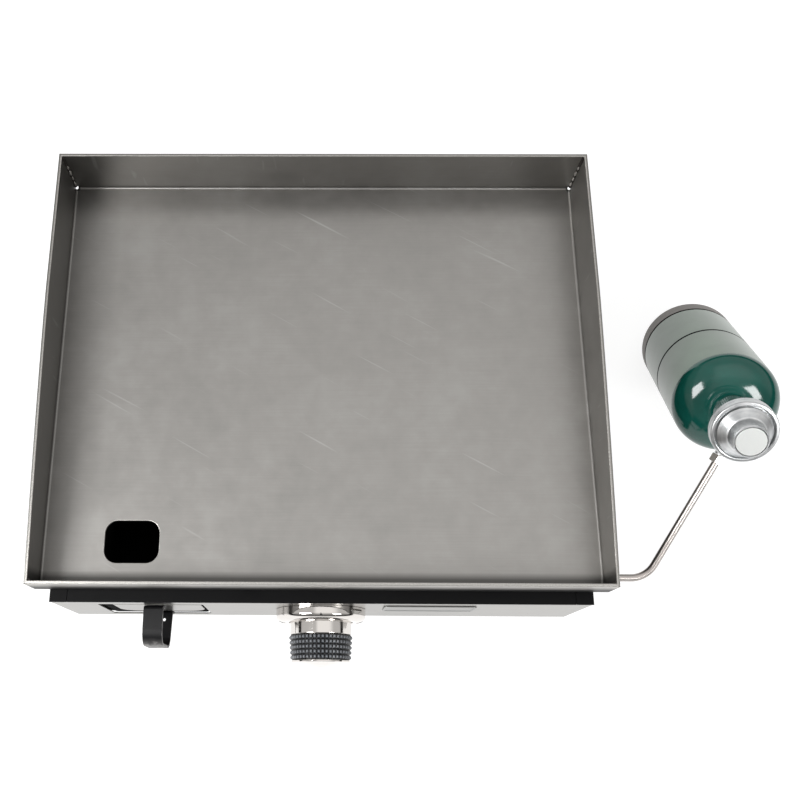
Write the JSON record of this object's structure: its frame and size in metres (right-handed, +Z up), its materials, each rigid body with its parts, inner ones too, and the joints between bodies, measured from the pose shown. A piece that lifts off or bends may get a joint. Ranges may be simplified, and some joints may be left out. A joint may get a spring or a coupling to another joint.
{
  "type": "portable gas griddle",
  "caption": "Table-top gas griddle: bent steel cooking plate on a low body with knob, slide-out grease tray, and gas tube with regulator and bottle.",
  "frame": {"origin": "centre of the cooking surface's upper face", "axes": "+Z up, +Y from the front panel to the rear wall, +X to the side with the gas line"},
  "size_m": [0.6536, 0.4304, 0.2234],
  "materials": {
    "griddle_steel": "bare cold-rolled steel, ground and lightly oiled",
    "black_coat": "black satin powder coat",
    "stainless": "brushed stainless steel",
    "aluminised_steel": "hot-dip aluminised steel, satin",
    "chrome": "bright chrome plate",
    "zinc_plate": "bright zinc plate",
    "grip_plastic": "black moulded plastic with a raised grip pattern",
    "cast_metal": "die-cast aluminium, satin",
    "turned_aluminium": "turned and brushed aluminium",
    "brass": "turned brass",
    "foot_rubber": "black moulded rubber",
    "seal_rubber": "black nitrile rubber",
    "igniter_plastic": "grey heat-resistant plastic",
    "lead_silicone": "silicone sleeve",
    "ceramic": "white glazed ceramic",
    "spring_steel": "drawn spring wire",
    "nameplate": "blank pressed stainless plate",
    "bottle_enamel": "glossy green enamel",
    "ring_plastic": "grey-brown moulded plastic"
  },
  "bodies": {
    "base": {"left_side_panel": "black_coat", "right_side_panel": "black_coat", "rear_panel": "black_coat", "heat_shield": "aluminised_steel", "front_rail": "black_coat", "rubber_foot_front_left": "foot_rubber", "rubber_foot_rear_left": "foot_rubber", "rubber_foot_front_right": "foot_rubber", "rubber_foot_rear_right": "foot_rubber", "front_panel": "stainless", "blank_nameplate": "nameplate", "tray_rail_left": "aluminised_steel", "tray_rail_right": "aluminised_steel", "knob_bezel": "chrome", "bezel_screw_left": "zinc_plate", "bezel_screw_right": "zinc_plate", "valve_bracket": "aluminised_steel", "valve_body": "cast_metal", "gas_orifice": "brass", "inlet_pipe": "aluminised_steel", "inlet_socket": "brass", "piezo_igniter": "igniter_plastic", "igniter_lead": "lead_silicone", "spark_electrode": "ceramic", "electrode_bracket": "aluminised_steel", "burner_tube_left": "aluminised_steel", "burner_tube_right": "aluminised_steel", "burner_cross_tube": "aluminised_steel", "burner_venturi": "aluminised_steel", "burner_bracket_front": "aluminised_steel", "burner_bracket_rear": "aluminised_steel"},
    "griddle": {"griddle_plate": "griddle_steel"},
    "tray": {"tray_pan": "black_coat", "tray_front": "stainless", "tray_handle": "black_coat", "tray_rivet_upper": "zinc_plate", "tray_rivet_lower": "zinc_plate"},
    "valve_plunger": {"valve_plunger": "brass", "valve_spring": "spring_steel"},
    "knob": {"valve_stem": "brass", "knob_barrel": "chrome", "knob_grip": "grip_plastic", "knob_cap": "chrome"},
    "air_shutter": {"air_shutter": "zinc_plate"},
    "gas_line": {"gas_tube": "chrome", "tube_plug": "brass", "outlet_nut": "chrome", "regulator_body": "turned_aluminium", "diaphragm": "seal_rubber", "regulator_cover": "turned_aluminium", "crimp_ring": "turned_aluminium", "regulator_spring": "spring_steel", "regulator_cap": "turned_aluminium", "inlet_collar": "turned_aluminium", "inlet_seal": "seal_rubber"},
    "coupling_nut": {"coupling_nut": "brass"},
    "bottle": {"bottle_shell": "bottle_enamel", "bottle_foot_ring": "ring_plastic", "bottle_valve_core": "brass"}
  },
  "joints": [
    {"name": "griddle_lift", "type": "slide", "parent": "base", "child": "griddle", "axis": [0, 0, 1], "range_m": [0, 0.08]},
    {"name": "tray_slide", "type": "slide", "parent": "base", "child": "tray", "axis": [0, -1, 0], "range_m": [0, 0.1]},
    {"name": "knob_push", "type": "slide", "parent": "base", "child": "valve_plunger", "axis": [0, 1, 0], "range_m": [0, 0.004], "stiffness_N_per_m": 1500, "springref_m": -0.002},
    {"name": "knob_turn", "type": "hinge", "parent": "valve_plunger", "child": "knob", "pos_m": [0, -0.19565, -0.054], "axis": [0, -1, 0], "range_deg": [0, 180]},
    {"name": "air_shutter_turn", "type": "hinge", "parent": "base", "child": "air_shutter", "pos_m": [0, -0.15, -0.054], "axis": [0, 1, 0], "range_deg": [-30, 30]},
    {"name": "gas_line_swivel", "type": "hinge", "parent": "base", "child": "gas_line", "pos_m": [0.2209, -0.16715, -0.054], "axis": [1, 0, 0], "range_deg": [0, 60]},
    {"name": "coupling_nut_turn", "type": "hinge", "parent": "gas_line", "child": "coupling_nut", "pos_m": [0.2234, -0.16715, -0.054], "axis": [1, 0, 0], "range_deg": [0, 360]},
    {"name": "bottle_removal", "type": "slide", "parent": "gas_line", "child": "bottle", "axis": [0.1349, 0.6373, -0.7587], "range_m": [0, 0.02]}
  ]
}
